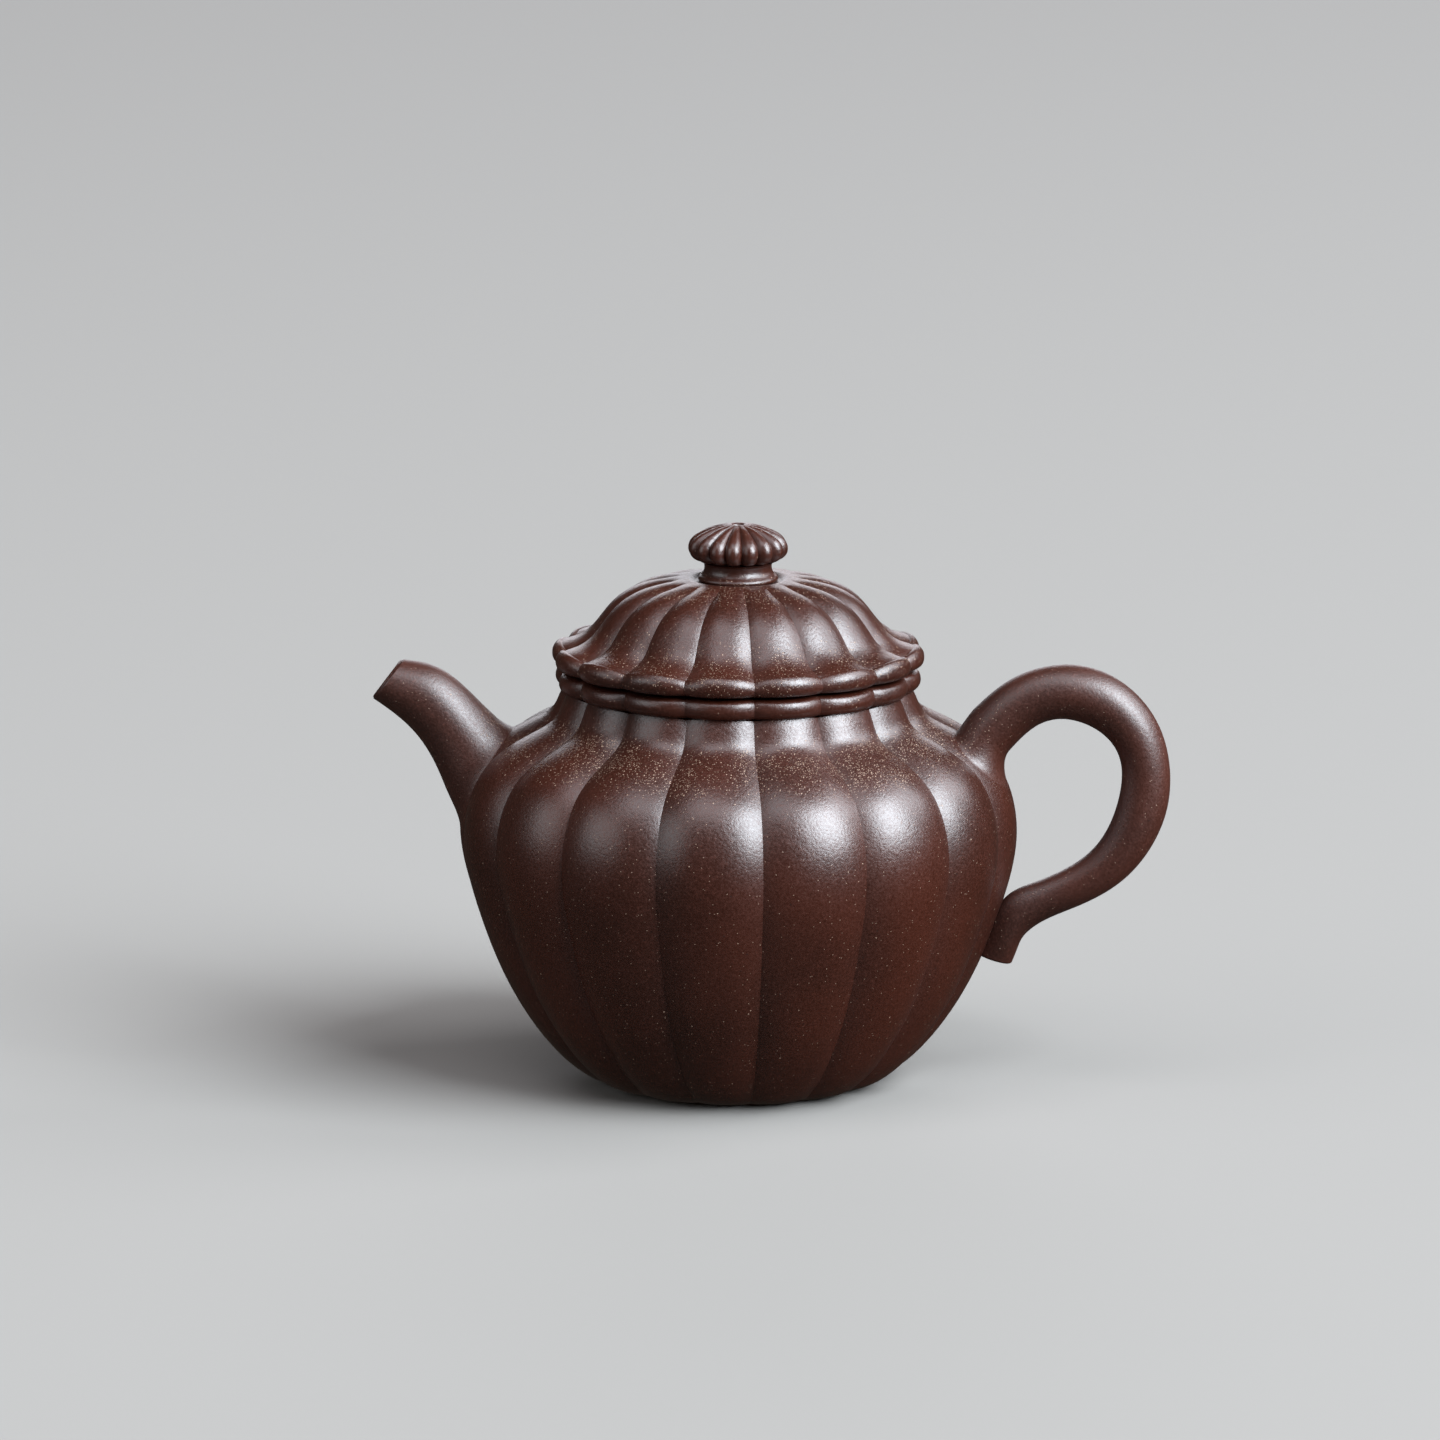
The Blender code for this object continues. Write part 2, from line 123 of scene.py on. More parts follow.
# ---- spout and handle, from the side: (upper or outer x, z), (lower or inner x, z), half width ----
# A root's reach says how far its rings keep to the belly's slope, and its pull how far they keep to
# the arm's direction, as parts of the distance to the first free ring: (at the top, at the bottom).
LOFT_SIDES = 96
SPOUT = (
    (-37.6, 55.5, -45.3, 44.6, 6.5),
    (-39.9, 57.7, -46.8, 48.1, 5.85),
    (-43.6, 61.2, -49.9, 52.9, 5.15),
    (-47.6, 63.5, -53.3, 56.0, 4.6),
    (-52.2, 64.25, -56.65, 58.3, 3.75),
)
SPOUT_RINGS = 60
SPOUT_ROOT = (-34.6, 54.0, -42.9, 38.0, 7.9)
SPOUT_ROOT_RINGS = 40
SPOUT_REACH = (0.10, 0.30)
SPOUT_PULL = (0.45, 0.35)
SPOUT_WALL = (2.2, 1.05)  # at the root, at the tip
SPOUT_LIP_RINGS = 9
SPOUT_LIP_SWELL = 0.45  # of the wall at the tip
SPOUT_LIP_INSET = 0.45  # so that the rounded lip ends where the outline does
HANDLE = (
    (36.6, 58.7, 41.9, 52.2, 4.5),
    (42.4, 63.4, 45.6, 55.8, 4.2),
    (50.2, 65.55, 50.0, 57.2, 4.2),
    (58.6, 63.2, 55.2, 55.6, 4.1),
    (64.6, 56.4, 58.3, 52.2, 3.9),
    (66.45, 47.6, 59.0, 47.8, 3.75),
    (64.6, 39.3, 57.7, 42.0, 3.6),
    (59.4, 32.2, 54.6, 36.8, 3.35),
    (52.4, 27.9, 49.8, 33.3, 3.1),
    (47.4, 25.6, 45.4, 31.3, 3.1),
    (44.4, 23.3, 41.5, 29.2, 3.2),
    (43.1, 20.7, 38.4, 24.4, 2.7),
    (42.4, 18.9, 36.8, 20.6, 1.9),
)
HANDLE_RINGS = 150
HANDLE_ROOT = (33.4, 54.6, 41.9, 46.4, 6.3)
HANDLE_ROOT_RINGS = 36
HANDLE_REACH = (0.12, 0.3)
HANDLE_PULL = (0.4, 0.35)
TAIL_RINGS = 8  # that round off the handle's free end
TAIL_TAPER = 0.35
TAIL_DROP = np.array([-0.075, 0.0, -0.5])
EDGE_TURN = 0.2  # radians by which the first ring round an edge is already turned
ROOT_CROWDING = 1.5  # over 1, a root's rings crowd at the belly
ROOT_PROBE = 0.96  # size of the ring inside the root that gives the belly's slope at it
ROOT_TUCK = 0.8  # size of the ring that starts the root inside the wall
ROOT_DEPTH = (1.2, 0.6)  # how far that ring lies inwards and down

# ---- the strainer and the window in the wall that it fills ----
WINDOW = (-38.2, 45.4)  # (x, z) of its middle
WINDOW_TILT = math.radians(29.0)
WINDOW_RADIUS = 6.0
WINDOW_DEPTH = 9.0
WINDOW_SIDES = 64
STRAINER_GAP = 0.1
STRAINER_SPHERE = 6.7  # radius
STRAINER_WALL = 1.3
STRAINER_INSET = 1.0  # how far inside its edge the hollow of the dome stops
STRAINER_LIP = (1.9, 2.1)  # how far the rim stands out into the spout: at its edges, between them
STRAINER_ROWS = 24
POLE = 0.02  # radians between the last row and the middle of the dome
HOLE_RINGS = ((1.9, 6), (3.7, 12))  # (radius, holes) round the middle one
HOLE_RADIUS = 0.55
HOLE_DEPTH = 16.0
HOLE_SIDES = 20


# ---- curves ----
CURVE_SAMPLES = 2000
SHORTEST_CHORD = 1e-6


def spline(points, count):
    """count points, evenly spaced, on a natural cubic spline through rows of numbers."""
    knots = np.array(points, float)
    chord = np.linalg.norm(np.diff(knots[:, :2], axis=0), axis=1)
    at = np.concatenate([[0.0], np.cumsum(np.maximum(chord, SHORTEST_CHORD))])
    n = len(knots)
    gap = np.diff(at)
    matrix = np.eye(n)
    right = np.zeros_like(knots)
    slope = np.diff(knots, axis=0) / gap[:, None]
    for i in range(1, n - 1):
        matrix[i, i - 1 : i + 2] = gap[i - 1], 2 * (gap[i - 1] + gap[i]), gap[i]
        right[i] = 6 * (slope[i] - slope[i - 1])
    bend = np.linalg.solve(matrix, right)

    def value(t):
        i = np.clip(np.searchsorted(at, t, side="right") - 1, 0, n - 2)
        h = gap[i][:, None]
        a = ((at[i + 1] - t) / gap[i])[:, None]
        b = ((t - at[i]) / gap[i])[:, None]
        cubic = (a**3 - a) * bend[i] + (b**3 - b) * bend[i + 1]
        return a * knots[i] + b * knots[i + 1] + cubic * h**2 / 6

    fine = np.linspace(at[0], at[-1], CURVE_SAMPLES)
    length = arc_lengths(value(fine)[:, :2])
    return value(np.interp(np.linspace(0, length[-1], count), length, fine))


def arc_lengths(path):
    """Length along a path up to each of its points."""
    return np.concatenate([[0.0], np.cumsum(np.linalg.norm(np.diff(path, axis=0), axis=1))])


def normals_of(outline):
    """Unit normals of a (radius, height) outline, to the right of its run."""
    along = np.gradient(outline, axis=0)
    along /= np.linalg.norm(along, axis=1)[:, None]
    return np.stack([along[:, 1], -along[:, 0]], axis=1)


# ---- ribbed rings ----
def lobe_positions():
    """(angle, place across its lobe from -1 to 1) of a ring's points, closest together at the grooves."""
    across = np.sin(math.pi / 2 * (np.arange(STEPS_PER_LOBE) / STEPS_PER_LOBE * 2 - 1))
    centres = math.tau * np.arange(LOBES) / LOBES
    angles = centres[:, None] + across[None, :] * math.pi / LOBES
    return angles.ravel(), np.tile(across, LOBES)


ANGLES, ACROSS = lobe_positions()
SINK = np.abs(ACROSS) ** VALLEY_POWER


def ribbed(crest, groove):
    """Grid of points turned round the axis: the crest outline down each lobe, the groove outline between."""
    mixed = crest[:, None, :] + (groove - crest)[:, None, :] * SINK[None, :, None]
    radius, height = mixed[..., 0], mixed[..., 1]
    return np.stack([radius * np.cos(ANGLES), radius * np.sin(ANGLES), height], axis=2)


def both(outline):
    """The (crest, groove) pair of a round outline."""
    outline = np.asarray(outline, float)
    return outline, outline


def pair(rows, count):
    """The smooth (crest, groove) pair of a table of rows."""
    table = spline(rows, count)
    return table[:, :2], table[:, 2:]


# ---- meshes ----
def grid_faces(rows, columns, wrap_rows):
    """Quads of a grid that closes round its columns, and round its rows too if wrap_rows."""
    last = rows if wrap_rows else rows - 1
    i, j = np.meshgrid(np.arange(last), np.arange(columns), indexing="ij")
    up, right = (i + 1) % rows, (j + 1) % columns
    quads = np.stack([i * columns + j, i * columns + right, up * columns + right, up * columns + j], axis=2)
    return quads.reshape(-1, 4)


def volume_of(points, quads):
    """Six times the volume inside closed quads: negative where they face inwards."""
    a, b, c, d = (points[quads[:, k]] for k in range(4))
    return (np.einsum("ij,ij->i", a, np.cross(b, c)) + np.einsum("ij,ij->i", a, np.cross(c, d))).sum()


def solid(name, grid, wrap_rows=True, **values):
    """A closed smooth mesh over a grid of points in millimetres. Open ends are capped.

    The named values are what its clay reads at each point."""
    rows, columns = grid.shape[:2]
    points = grid.reshape(-1, 3) * MM
    quads = grid_faces(rows, columns, wrap_rows)
    caps = []
    if not wrap_rows:
        caps = [list(range(columns))[::-1], list(range((rows - 1) * columns, rows * columns))]
    if volume_of(points - points.mean(axis=0), quads) < 0:
        quads = quads[:, ::-1]
        caps = [cap[::-1] for cap in caps]
    mesh = bpy.data.meshes.new(name)
    mesh.from_pydata(points.tolist(), [], quads.tolist() + caps)
    for key, value in values.items():
        attribute = mesh.attributes.new(key, "FLOAT", "POINT")
        attribute.data.foreach_set("value", np.asarray(value, np.float32).ravel())
    mesh.shade_smooth()
    obj = bpy.data.objects.new(name, mesh)
    bpy.context.scene.collection.objects.link(obj)
    return obj


def shade(obj):
    """Smooth shading, with hard edges where the faces turn sharply."""
    obj.data.shade_smooth()
    obj.data.set_sharp_from_angle(angle=SHARP_EDGE)


def place(obj, body, node, material):
    """Finishes a piece: its clay, the body that it moves with and the CAD node that it stands for."""
    obj.data.materials.append(material)
    obj.data.polygons.foreach_set("material_index", [0] * len(obj.data.polygons))
    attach(obj, body)
    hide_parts(node)
    return obj


def turned(name, pairs):
    """A ring-shaped piece from (crest, groove) outlines that follow each other round its section.

    The first pair is the burnished outside, and the clay of the others is bare."""
    grids = [ribbed(*outlines) for outlines in pairs]
    depths = np.concatenate([np.linalg.norm(crest - groove, axis=1) for crest, groove in pairs])
    grooves = np.outer(np.minimum(depths, 1.0), SINK)
    bare = np.ones_like(grooves)
    bare[: len(pairs[0][0])] = 0.0
    obj = solid(name, np.concatenate(grids), groove=grooves, bare=bare)
    shade(obj)
    return obj


def cut(obj, cutter):
    """Takes the cutter's shape out of a piece, and removes the cutter."""
    modifier = obj.modifiers.new("cut", "BOOLEAN")
    modifier.operation = "DIFFERENCE"
    modifier.solver = "MANIFOLD"
    modifier.object = cutter
    evaluated = obj.evaluated_get(bpy.context.evaluated_depsgraph_get())
    mesh = bpy.data.meshes.new_from_object(evaluated)
    mesh.materials.clear()
    obj.modifiers.clear()
    obj.data = mesh
    bpy.data.objects.remove(cutter, do_unlink=True)
    shade(obj)


# ---- the pot ----
def rib_depth(height):
    """Depth of the belly's grooves at a height."""
    heights, depths = zip(*BELLY_RIBS)
    return np.interp(height, heights, depths)


def pot_rows():
    """Rows of the pot's outside, (crest outline, groove outline, row of the neck seam).

    Two more rows hug the seam, so that the shading runs on from the belly into the collar."""
    fine = spline(POT_CREST, POT_ROWS * FINE_STEPS + 1)
    groove = fine - normals_of(fine) * rib_depth(fine[:, 1])[:, None]
    seam = int(np.searchsorted(fine[:, 1], NECK_SEAM))
    kept = sorted({*range(0, len(fine), FINE_STEPS), seam - 1, seam, seam + 1})
    return fine[kept], groove[kept], kept.index(seam)


POT_OUTLINE, POT_GROOVE, SEAM_ROW = pot_rows()
POT_ARC = arc_lengths(POT_OUTLINE)
POT_NORMALS = normals_of(POT_OUTLINE)


def window_matrix():
    """Where the window is: its middle, with +Z along its axis and out into the spout."""
    turn = Matrix.Rotation(-(math.pi / 2 - WINDOW_TILT), 4, "Y")
    return Matrix.Translation(Vector((WINDOW[0], 0, WINDOW[1])) * MM) @ turn


def pins(name, spots, radius, depth, sides):
    """Closed round pins straight through the window, at (x, y) spots from its middle, in millimetres."""
    angles = math.tau * np.arange(sides) / sides
    rim = [(radius * math.cos(a), radius * math.sin(a)) for a in angles]
    points, faces = [], []
    for x, y in spots:
        start = len(points)
        for z in (-depth / 2, depth / 2):
            points += [((x + across) * MM, (y + up) * MM, z * MM) for across, up in rim]
        low = [start + k for k in range(sides)]
        high = [start + sides + k for k in range(sides)]
        faces += [low[::-1], high]
        faces += [[low[k], low[(k + 1) % sides], high[(k + 1) % sides], high[k]] for k in range(sides)]
    mesh = bpy.data.meshes.new(name)
    mesh.from_pydata(points, [], faces)
    obj = bpy.data.objects.new(name, mesh)
    bpy.context.scene.collection.objects.link(obj)
    obj.matrix_world = window_matrix()
    bpy.context.view_layer.update()
    return obj


def belly(material):
    outer = POT_OUTLINE[: SEAM_ROW + 1], POT_GROOVE[: SEAM_ROW + 1]
    inner = spline(POT_INSIDE, INSIDE_ROWS)
    pressed = inner - normals_of(inner) * INNER_RIBS
    obj = turned("belly", (outer, (inner, pressed)))
    cut(obj, pins("window", [(0.0, 0.0)], WINDOW_RADIUS, WINDOW_DEPTH, WINDOW_SIDES))
    return place(obj, POT, "body_wall", material)


def floor_disc(material):
    obj = solid("floor_disc", ribbed(*both(BASE_UNDERSIDE + BASE_TOP)), False)
    return place(obj, POT, "base_disc", material)


def collar(material):
    outer = POT_OUTLINE[SEAM_ROW:], POT_GROOVE[SEAM_ROW:]
    inner = [(MOUTH_BORE, z) for z in np.linspace(*COLLAR_BORE, COLLAR_BORE_ROWS)]
    return place(turned("collar", (outer, both(inner))), POT, "neck_collar", material)


def bead(name, rows, inner, body, node, material):
    """A scalloped bead with a plain bore."""
    return place(turned(name, (pair(rows, BEAD_ROWS), both(inner))), body, node, material)


# ---- spout and handle ----
TURN = math.tau * np.arange(LOFT_SIDES) / LOFT_SIDES
UPPER_SHARE = ((1 + np.cos(TURN)) / 2)[:, None]  # 1 at the top of a ring, 0 at its bottom


def ovals(rows, inset=0.0):
    """Rings between the edge points of each row."""
    rows = np.asarray(rows, float)
    upper, lower, width = rows[:, 0:2], rows[:, 2:4], rows[:, 4] - inset
    middle, half = (upper + lower) / 2, (upper - lower) / 2
    half = half * (1 - inset / np.linalg.norm(half, axis=1))[:, None]
    side = middle[:, None, :] + half[:, None, :] * np.cos(TURN)[None, :, None]
    return np.stack([side[..., 0], width[:, None] * np.sin(TURN)[None, :], side[..., 1]], axis=2)


def arm_spline(rows, count):
    """Smooth rows of (edge, edge, width), evenly spaced along the middle line."""
    table = np.array(rows, float)
    middle = (table[:, 0:2] + table[:, 2:4]) / 2
    curve = spline(np.hstack([middle, table]), count)
    return curve[:, 2:]


def at_arc(values, along):
    """(radius, height) values of the pot's rows, read at lengths up the crest."""
    return np.stack([np.interp(along, POT_ARC, values[:, k]) for k in range(2)], axis=-1)


def on_belly(side, along, across):
    """Points of the belly's ribbed surface on the lobe that faces side (+1 handle, -1 spout).

    along is the arc length up the crest from the base, across the distance sideways, both in mm."""
    crest = at_arc(POT_OUTLINE, along)
    angle = np.arcsin(np.clip(across / crest[..., 0], -1, 1))
    sink = np.abs(angle / (math.pi / LOBES)) ** VALLEY_POWER
    sunk = crest - at_arc(POT_NORMALS, along) * (rib_depth(crest[..., 1]) * sink)[..., None]
    radius = sunk[..., 0]
    return np.stack([side * radius * np.cos(angle), radius * np.sin(angle), sunk[..., 1]], axis=-1)


def arc_at(point):
    """Arc length up the crest to its point nearest (x, z)."""
    gap = np.linalg.norm(POT_OUTLINE - np.array([abs(point[0]), point[1]]), axis=1)
    return POT_ARC[gap.argmin()]


def flare(root, first, direction, reach, pull, count):
    """Rings that leave the belly tangentially round a root oval and run into the first free ring."""
    side = math.copysign(1, root[0])
    top, bottom = arc_at(root[0:2]), arc_at(root[2:4])
    middle, half, width = (top + bottom) / 2, (top - bottom) / 2, root[4]

    def ring(size):
        return on_belly(side, middle + half * size * np.cos(TURN), width * size * np.sin(TURN))

    edge = ring(1.0)
    slope = ring(ROOT_PROBE) - edge
    slope /= np.linalg.norm(slope, axis=1)[:, None]
    distance = np.linalg.norm(first - edge, axis=1)[:, None]
    ahead = edge + slope * distance * (reach[0] * UPPER_SHARE + reach[1] * (1 - UPPER_SHARE))
    behind = first - direction * distance * (pull[0] * UPPER_SHARE + pull[1] * (1 - UPPER_SHARE))
    t = (np.linspace(0, 1, count, endpoint=False) ** ROOT_CROWDING)[:, None, None]
    curve = (1 - t) ** 3 * edge + 3 * (1 - t) ** 2 * t * ahead + 3 * (1 - t) * t**2 * behind + t**3 * first
    inward = ring(ROOT_TUCK)
    inward[:, 0] -= side * ROOT_DEPTH[0]
    inward[:, 2] -= ROOT_DEPTH[1]
    return np.concatenate([inward[None], curve])


def ring_directions(rings):
    """Unit steps from the points of the first ring to those of the second."""
    step = rings[1] - rings[0]
    return step / np.linalg.norm(step, axis=1)[:, None]


def spout_lip(outside, bore, out):
    """Rings that round the tip over from the outside to the bore."""
    swell = SPOUT_WALL[1] * SPOUT_LIP_SWELL
    rings = []
    for turn in np.linspace(EDGE_TURN, math.pi - EDGE_TURN, SPOUT_LIP_RINGS):
        share = (1 - math.cos(turn)) / 2
        ring = outside * (1 - share) + bore * share
        rings.append(ring + out * (math.sin(turn) * swell - SPOUT_LIP_INSET))
    return np.array(rings)


def spout(material):
    rows = arm_spline(SPOUT, SPOUT_RINGS)
    outer = ovals(rows)
    root = flare(SPOUT_ROOT, outer[0], ring_directions(outer), SPOUT_REACH, SPOUT_PULL, SPOUT_ROOT_RINGS)
    walls = np.linspace(*SPOUT_WALL, len(rows))
    bore = np.concatenate([ovals(rows[i : i + 1], walls[i]) for i in range(len(rows))])
    out = ring_directions(outer[-2:]).mean(axis=0)
    out /= np.linalg.norm(out)
    lip = spout_lip(outer[-1], bore[-1], out)
    grid = np.concatenate([root, outer[:-1], lip, bore[::-1][1:]])
    return place(solid("spout_skin", grid), POT, "spout", material)


def handle(material):
    outer = ovals(arm_spline(HANDLE, HANDLE_RINGS))
    root = flare(HANDLE_ROOT, outer[0], ring_directions(outer), HANDLE_REACH, HANDLE_PULL, HANDLE_ROOT_RINGS)
    middle = outer[-1].mean(axis=0)
    tail = []
    for turn in np.linspace(EDGE_TURN, math.pi / 2, TAIL_RINGS):
        size = 1 - TAIL_TAPER * (1 - math.cos(turn))
        tail.append(middle + (outer[-1] - middle) * size + TAIL_DROP * math.sin(turn))
    grid = np.concatenate([root, outer, np.array(tail)])
    return place(solid("handle_loop", grid, False), POT, "handle", material)


def strainer(material):
    """A pierced dome that bulges into the pot, in the window where the spout starts."""
    edge = WINDOW_RADIUS - STRAINER_GAP
    thin = STRAINER_SPHERE - STRAINER_WALL
    centre = math.sqrt(STRAINER_SPHERE**2 - edge**2)
    angles = np.linspace(math.asin(edge / STRAINER_SPHERE), POLE, STRAINER_ROWS)
    outside = [(STRAINER_SPHERE * math.sin(a), centre - STRAINER_SPHERE * math.cos(a)) for a in angles]
    inside = [(thin * math.sin(a), centre - thin * math.cos(a)) for a in angles[::-1]]
    inside = [(radius, height) for radius, height in inside if radius < edge - STRAINER_INSET]
    low, high = STRAINER_LIP
    lip = [(edge - STRAINER_WALL, low), (edge - STRAINER_WALL / 2, high), (edge, low)]
    obj = solid("strainer", ribbed(*both(inside + lip + outside)), False)
    obj.data.transform(window_matrix())
    spots = [(0.0, 0.0)]
    for ring_radius, holes in HOLE_RINGS:
        for k in range(holes):
            a = math.tau * (k + 0.5) / holes
            spots.append((ring_radius * math.cos(a), ring_radius * math.sin(a)))
    cut(obj, pins("holes", spots, HOLE_RADIUS, HOLE_DEPTH, HOLE_SIDES))
    return place(obj, POT, "spout_strainer", material)


# ---- the lid ----
def lid_shell(material):
    inside = both(spline(LID_INSIDE, LID_INSIDE_ROWS))
    pairs = (pair(LID_DOME, DOME_ROWS), both(LID_VENT), inside, both(LID_FOOT))
    return place(turned("lid_shell", pairs), LID, "lid_dome", material)


def flange(material):
    outline = spline(FLANGE[::-1], FLANGE_ROWS)
    return place(solid("lid_flange_ring", ribbed(*both(outline))), LID, "lid_flange", material)


def knob_foot(material):
    pairs = (both(spline(STEM, STEM_ROWS)), both(STEM_VENT))
    return place(turned("knob_foot", pairs), LID, "knob_stem", material)


def knob(material):
    return place(turned("knob", (pair(KNOB, KNOB_ROWS), both(KNOB_VENT))), LID, "knob_button", material)


# ---- clay: scales are in waves or cells per metre, heights and radii in metres ----
# noises: (scale, detail), and for the grain its roughness too
CLOUDS = (55.0, 3.0)  # slow changes of colour
PATCHES = (130.0, 2.0)  # more and less sand
GRAIN = (2600.0, 3.0, 0.65)
DIMPLES = (1500.0, 2.0)
# the part of a noise's range that each change runs over
CLOUD_RANGE = (0.3, 0.7)
PATCH_RANGE = (0.42, 0.62)
GRAIN_LIGHT_RANGE = (0.45, 0.8)
GRAIN_DARK_RANGE = (0.45, 0.25)
GRAIN_ROUGH_RANGE = (0.3, 0.7)
GRAIN_LIGHT, GRAIN_DARK = 1.8, 0.5  # colour of the lightest and darkest grains, times the clay's
GRAIN_STRENGTH = 0.6
ROUGH_SPREAD = (-0.05, 0.06)  # round the clay's roughness
GROOVE_ROUGH, SAND_ROUGH = 0.05, 0.2
BARE_LIGHT, BARE_ROUGH = 1.7, 0.3  # how much lighter and rougher unburnished clay is
PATCH_LEAST = 0.25  # share of the sand that the barest patches keep
SPECK_SOFTNESS = 0.3  # of its radius
# sand gathers in three bands: (lowest, highest height at full strength, fade, strength)
SHOULDER_BAND = (0.0530, 0.0562, 0.0025, 1.0)
BRIM_BAND = (0.0672, 0.0695, 0.003, 0.5)
CROWN_BAND = (0.0772, 0.0786, 0.0012, 0.6)
SHOULDER_EDGE = (0.038, 0.040)  # radii between which the shoulder's sand fades out
# (cells per metre, radius of a grain in cells, share of cells with sand in the bands, share elsewhere)
COARSE_SAND = (2800.0, 0.28, 0.25, 0.003)
FINE_SAND = (4200.0, 0.32, 0.55, 0.02)
FINE_STRENGTH, SAND_STRENGTH = 0.7, 0.7
SAND_COLOUR = (0.40, 0.27, 0.19, 1.0)
IRON_SPOTS = (900.0, 0.14, 0.06)  # cells per metre, radius in cells, share of cells
IRON_STRENGTH = 0.6
IRON_COLOUR = (0.012, 0.005, 0.004, 1.0)
GRAIN_RELIEF, DIMPLE_RELIEF, SAND_RELIEF = 1.1, 0.7, 0.4
RELIEF_STRENGTH, RELIEF_HEIGHT = 0.5, 0.00008


class Nodes:
    """Short calls for adding and joining shader nodes."""

    def __init__(self, name):
        self.material = bpy.data.materials.new(name)
        self.material.use_nodes = True
        self.tree = self.material.node_tree
        self.shader = self.tree.nodes["Principled BSDF"]

    def add(self, kind, inputs=None, **settings):
        node = self.tree.nodes.new(kind)
        for key, value in settings.items():
            setattr(node, key, value)
        for key, value in (inputs or {}).items():
            self.give(node.inputs[key], value)
        return node

    def give(self, socket, value):
        if isinstance(value, bpy.types.NodeSocket):
            self.tree.links.new(value, socket)
        else:
            socket.default_value = value

    def math(self, operation, *values):
        return self.add("ShaderNodeMath", dict(enumerate(values)), operation=operation).outputs[0]

    def vector(self, operation, inputs):
        return self.add("ShaderNodeVectorMath", inputs, operation=operation)

    def attribute(self, name):
        return self.add("ShaderNodeAttribute", attribute_name=name).outputs["Fac"]

    def span(self, value, low, high, to_low=0.0, to_high=1.0):
        inputs = {"Value": value, "From Min": low, "From Max": high, "To Min": to_low, "To Max": to_high}
        return self.add("ShaderNodeMapRange", inputs, interpolation_type="SMOOTHSTEP").outputs["Result"]

    def noise(self, where, scale, detail, roughness=0.5):
        inputs = {"Vector": where, "Scale": scale, "Detail": detail, "Roughness": roughness}
        return self.add("ShaderNodeTexNoise", inputs).outputs["Fac"]

    def mix(self, factor, a, b):
        inputs = {"Factor": factor, 6: a, 7: b}
        return self.add("ShaderNodeMix", inputs, data_type="RGBA").outputs[2]


def specks(nodes, where, scale, radius, share):
    """1 inside scattered round grains: Voronoi cells of the given scale, of which a share holds a grain."""
    inputs = {"Vector": where, "Scale": scale, "Randomness": 1.0}
    cells = nodes.add("ShaderNodeTexVoronoi", inputs, feature="F1")
    near = nodes.span(cells.outputs["Distance"], radius * (1 + SPECK_SOFTNESS), radius * (1 - SPECK_SOFTNESS))
    pick = nodes.add("ShaderNodeSeparateColor", {"Color": cells.outputs["Color"]}).outputs[0]
    chosen = nodes.math("LESS_THAN", pick, share)
    return nodes.math("MULTIPLY", near, chosen)


def band(nodes, height, low, high, soft, strength):
    """strength between two heights, fading out over soft metres."""
    rise = nodes.span(height, low - soft, low)
    fall = nodes.span(height, high, high + soft, 1.0, 0.0)
    return nodes.math("MULTIPLY", nodes.math("MULTIPLY", rise, fall), strength)


def sandy_places(nodes, where):
    """Where pale sand gathers, from 0 to 1: the shoulder, the lid's brim and round the knob."""
    height = nodes.add("ShaderNodeSeparateXYZ", {"Vector": where}).outputs["Z"]
    flat = nodes.vector("MULTIPLY", {0: where, 1: (1.0, 1.0, 0.0)}).outputs[0]
    radius = nodes.vector("LENGTH", {0: flat}).outputs["Value"]
    within = nodes.span(radius, *SHOULDER_EDGE, 1.0, 0.0)
    shoulder = nodes.math("MULTIPLY", band(nodes, height, *SHOULDER_BAND), within)
    brim = band(nodes, height, *BRIM_BAND)
    crown = band(nodes, height, *CROWN_BAND)
    sandy = nodes.math("MAXIMUM", nodes.math("MAXIMUM", shoulder, brim), crown)
    patchy = nodes.span(nodes.noise(where, *PATCHES), *PATCH_RANGE, PATCH_LEAST, 1.0)
    return nodes.math("MULTIPLY", sandy, patchy)


def sand_grains(nodes, where, sandy, scale, radius, gathered, stray):
    """Specks of sand, in a larger share of the cells where it gathers."""
    share = nodes.math("MULTIPLY_ADD", sandy, gathered, stray)
    return specks(nodes, where, scale, radius, share)


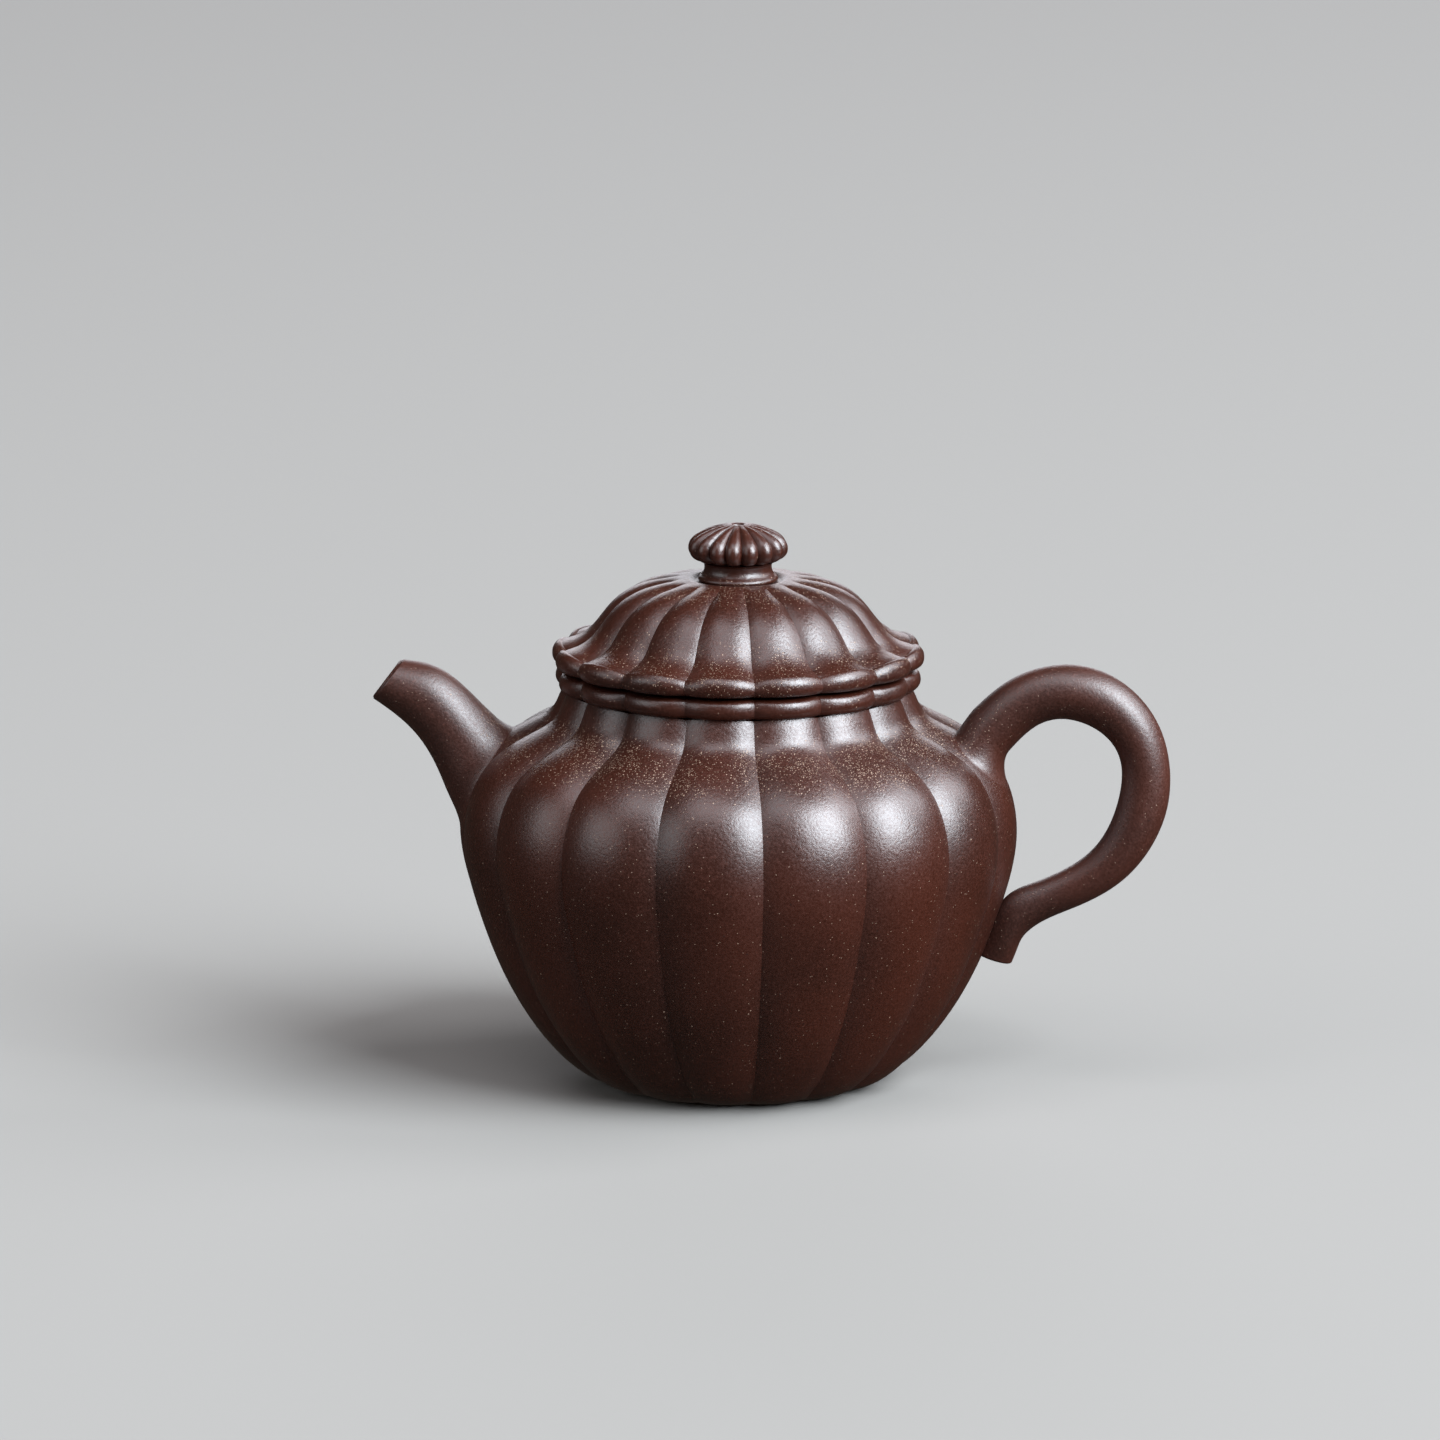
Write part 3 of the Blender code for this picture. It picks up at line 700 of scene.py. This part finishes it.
def clay(name, dark, light, roughness, burnish):
    """Unglazed clay with fine grain, iron spots and sand, duller in the grooves and where it is bare."""
    nodes = Nodes(name)
    where = nodes.add("ShaderNodeTexCoord").outputs["Object"]
    groove = nodes.attribute("groove")
    bare = nodes.attribute("bare")
    grain = nodes.noise(where, *GRAIN)
    sandy = sandy_places(nodes, where)
    fine = sand_grains(nodes, where, sandy, *FINE_SAND)
    sand = sand_grains(nodes, where, sandy, *COARSE_SAND)
    sand = nodes.math("MAXIMUM", sand, nodes.math("MULTIPLY", fine, FINE_STRENGTH))
    iron = specks(nodes, where, *IRON_SPOTS)

    lightest = [c * GRAIN_LIGHT for c in light] + [1.0]
    darkest = [c * GRAIN_DARK for c in dark] + [1.0]
    cloud = nodes.span(nodes.noise(where, *CLOUDS), *CLOUD_RANGE)
    body = nodes.mix(cloud, (*dark, 1.0), (*light, 1.0))
    body = nodes.mix(nodes.span(grain, *GRAIN_LIGHT_RANGE, 0.0, GRAIN_STRENGTH), body, lightest)
    body = nodes.mix(nodes.span(grain, *GRAIN_DARK_RANGE, 0.0, GRAIN_STRENGTH), body, darkest)
    body = nodes.mix(nodes.math("MULTIPLY", iron, IRON_STRENGTH), body, IRON_COLOUR)
    lighter = nodes.span(bare, 0.0, 1.0, 1.0, BARE_LIGHT)
    body = nodes.vector("SCALE", {0: body, "Scale": lighter}).outputs[0]
    body = nodes.mix(nodes.math("MULTIPLY", sand, SAND_STRENGTH), body, SAND_COLOUR)
    nodes.give(nodes.shader.inputs["Base Color"], body)

    least, most = (roughness + change for change in ROUGH_SPREAD)
    rough = nodes.span(grain, *GRAIN_ROUGH_RANGE, least, most)
    rough = nodes.math("MULTIPLY_ADD", groove, GROOVE_ROUGH, rough)
    rough = nodes.math("MULTIPLY_ADD", sand, SAND_ROUGH, rough)
    rough = nodes.math("MULTIPLY_ADD", bare, BARE_ROUGH, rough)
    nodes.give(nodes.shader.inputs["Roughness"], rough)
    nodes.shader.inputs["Specular IOR Level"].default_value = burnish

    dimple = nodes.noise(where, *DIMPLES)
    relief = nodes.math("MULTIPLY", grain, GRAIN_RELIEF)
    relief = nodes.math("MULTIPLY_ADD", dimple, DIMPLE_RELIEF, relief)
    relief = nodes.math("MULTIPLY_ADD", sand, SAND_RELIEF, relief)
    inputs = {"Height": relief, "Strength": RELIEF_STRENGTH, "Distance": RELIEF_HEIGHT}
    bump = nodes.add("ShaderNodeBump", inputs)
    nodes.give(nodes.shader.inputs["Normal"], bump.outputs["Normal"])
    return nodes.material


# ---- floor, camera and light, in metres ----
FLOOR_COLOUR = (0.255, 0.245, 0.23, 1.0)
FLOOR_ROUGHNESS = 0.85
FLOOR_HALF = 12.0  # half its width
CAMERA_AZIMUTH = math.radians(5.99)
CAMERA_DISTANCE = 1.300  # along the floor
CAMERA_HEIGHT = 0.3212
CAMERA_PITCH = math.radians(11.535)
CAMERA_PAN = math.radians(0.1215)
CAMERA_LENS, CAMERA_SENSOR = 216.15, 36.0  # in millimetres
CAMERA_NEAR = 0.05
LIT_POINT = Vector((0, 0, 0.045))  # where the lights aim
# (name, degrees to the right of the camera, degrees up, distance, width, height, power, colour)
LIGHTS = (
    ("key", 55, 38, 4.8, 3.4, 3.8, 740.0, (0.86, 0.93, 1.0)),
    ("right", 106, 40, 5.2, 2.4, 3.2, 140.0, (0.92, 0.94, 1.0)),
    ("left", -66, 24, 5.6, 4.0, 3.2, 75.0, (0.94, 0.96, 1.0)),
    ("top", -30, 67, 4.8, 3.4, 3.0, 90.0, (0.95, 0.94, 1.0)),
    ("back", 180, 14, 5.2, 3.0, 1.8, 50.0, (0.95, 0.94, 1.0)),
)
ROOM_COLOUR = (0.95, 0.78, 0.66, 1.0)
ROOM_STRENGTH = 0.045


def pale_floor():
    nodes = Nodes("pale_floor")
    nodes.shader.inputs["Base Color"].default_value = FLOOR_COLOUR
    nodes.shader.inputs["Roughness"].default_value = FLOOR_ROUGHNESS
    mesh = bpy.data.meshes.new("floor")
    corners = [(x * FLOOR_HALF, y * FLOOR_HALF, 0) for x, y in ((-1, -1), (1, -1), (1, 1), (-1, 1))]
    mesh.from_pydata(corners, [], [(0, 1, 2, 3)])
    floor = bpy.data.objects.new("floor", mesh)
    bpy.context.scene.collection.objects.link(floor)
    floor.data.materials.append(nodes.material)
    floor.visible_glossy = False  # the clay reflects a dark studio, not the pale floor


def camera():
    data = bpy.data.cameras.new("camera")
    data.lens = CAMERA_LENS
    data.sensor_width = CAMERA_SENSOR
    data.clip_start = CAMERA_NEAR
    obj = bpy.data.objects.new("camera", data)
    right, back = math.sin(CAMERA_AZIMUTH), -math.cos(CAMERA_AZIMUTH)
    obj.location = (CAMERA_DISTANCE * right, CAMERA_DISTANCE * back, CAMERA_HEIGHT)
    obj.rotation_euler = (math.pi / 2 - CAMERA_PITCH, 0, CAMERA_AZIMUTH + CAMERA_PAN)
    bpy.context.scene.collection.objects.link(obj)
    bpy.context.scene.camera = obj


def softbox(name, azimuth, elevation, distance, width, height, power, colour):
    """An area light that faces the pot."""
    data = bpy.data.lights.new(name, "AREA")
    data.shape = "RECTANGLE"
    data.size = width
    data.size_y = height
    data.energy = power
    data.color = colour
    obj = bpy.data.objects.new(name, data)
    a, e = CAMERA_AZIMUTH + math.radians(azimuth), math.radians(elevation)
    towards = Vector((math.sin(a) * math.cos(e), -math.cos(a) * math.cos(e), math.sin(e)))
    obj.location = LIT_POINT + distance * towards
    obj.rotation_euler = (LIT_POINT - obj.location).to_track_quat("-Z", "Y").to_euler()
    bpy.context.scene.collection.objects.link(obj)


def studio():
    """The lights, and the dim warm room that the clay reflects between them."""
    for light in LIGHTS:
        softbox(*light)
    world = bpy.data.worlds.new("studio")
    world.use_nodes = True
    background = world.node_tree.nodes["Background"]
    background.inputs["Color"].default_value = ROOM_COLOUR
    background.inputs["Strength"].default_value = ROOM_STRENGTH
    bpy.context.scene.world = world
    bpy.context.scene.view_settings.view_transform = "Standard"


camera()
studio()
pale_floor()

burnished = clay("burnished_clay", (0.024, 0.0044, 0.0014), (0.039, 0.0072, 0.0026), 0.34, 0.85)
shaped = clay("shaped_clay", (0.028, 0.0052, 0.0017), (0.046, 0.0085, 0.0030), 0.43, 0.9)
raw = clay("raw_clay", (0.040, 0.0120, 0.0062), (0.062, 0.0195, 0.0105), 0.62, 0.4)

belly(burnished)
floor_disc(raw)
collar(burnished)
bead("mouth_bead", MOUTH_BEAD, MOUTH_BEAD_BORE, POT, "mouth_rim", burnished)
spout(shaped)
strainer(raw)
handle(shaped)
lid_shell(burnished)
bead("lid_bead", LID_BEAD, LID_BEAD_BORE, LID, "lid_rim", burnished)
flange(raw)
knob_foot(burnished)
knob(burnished)
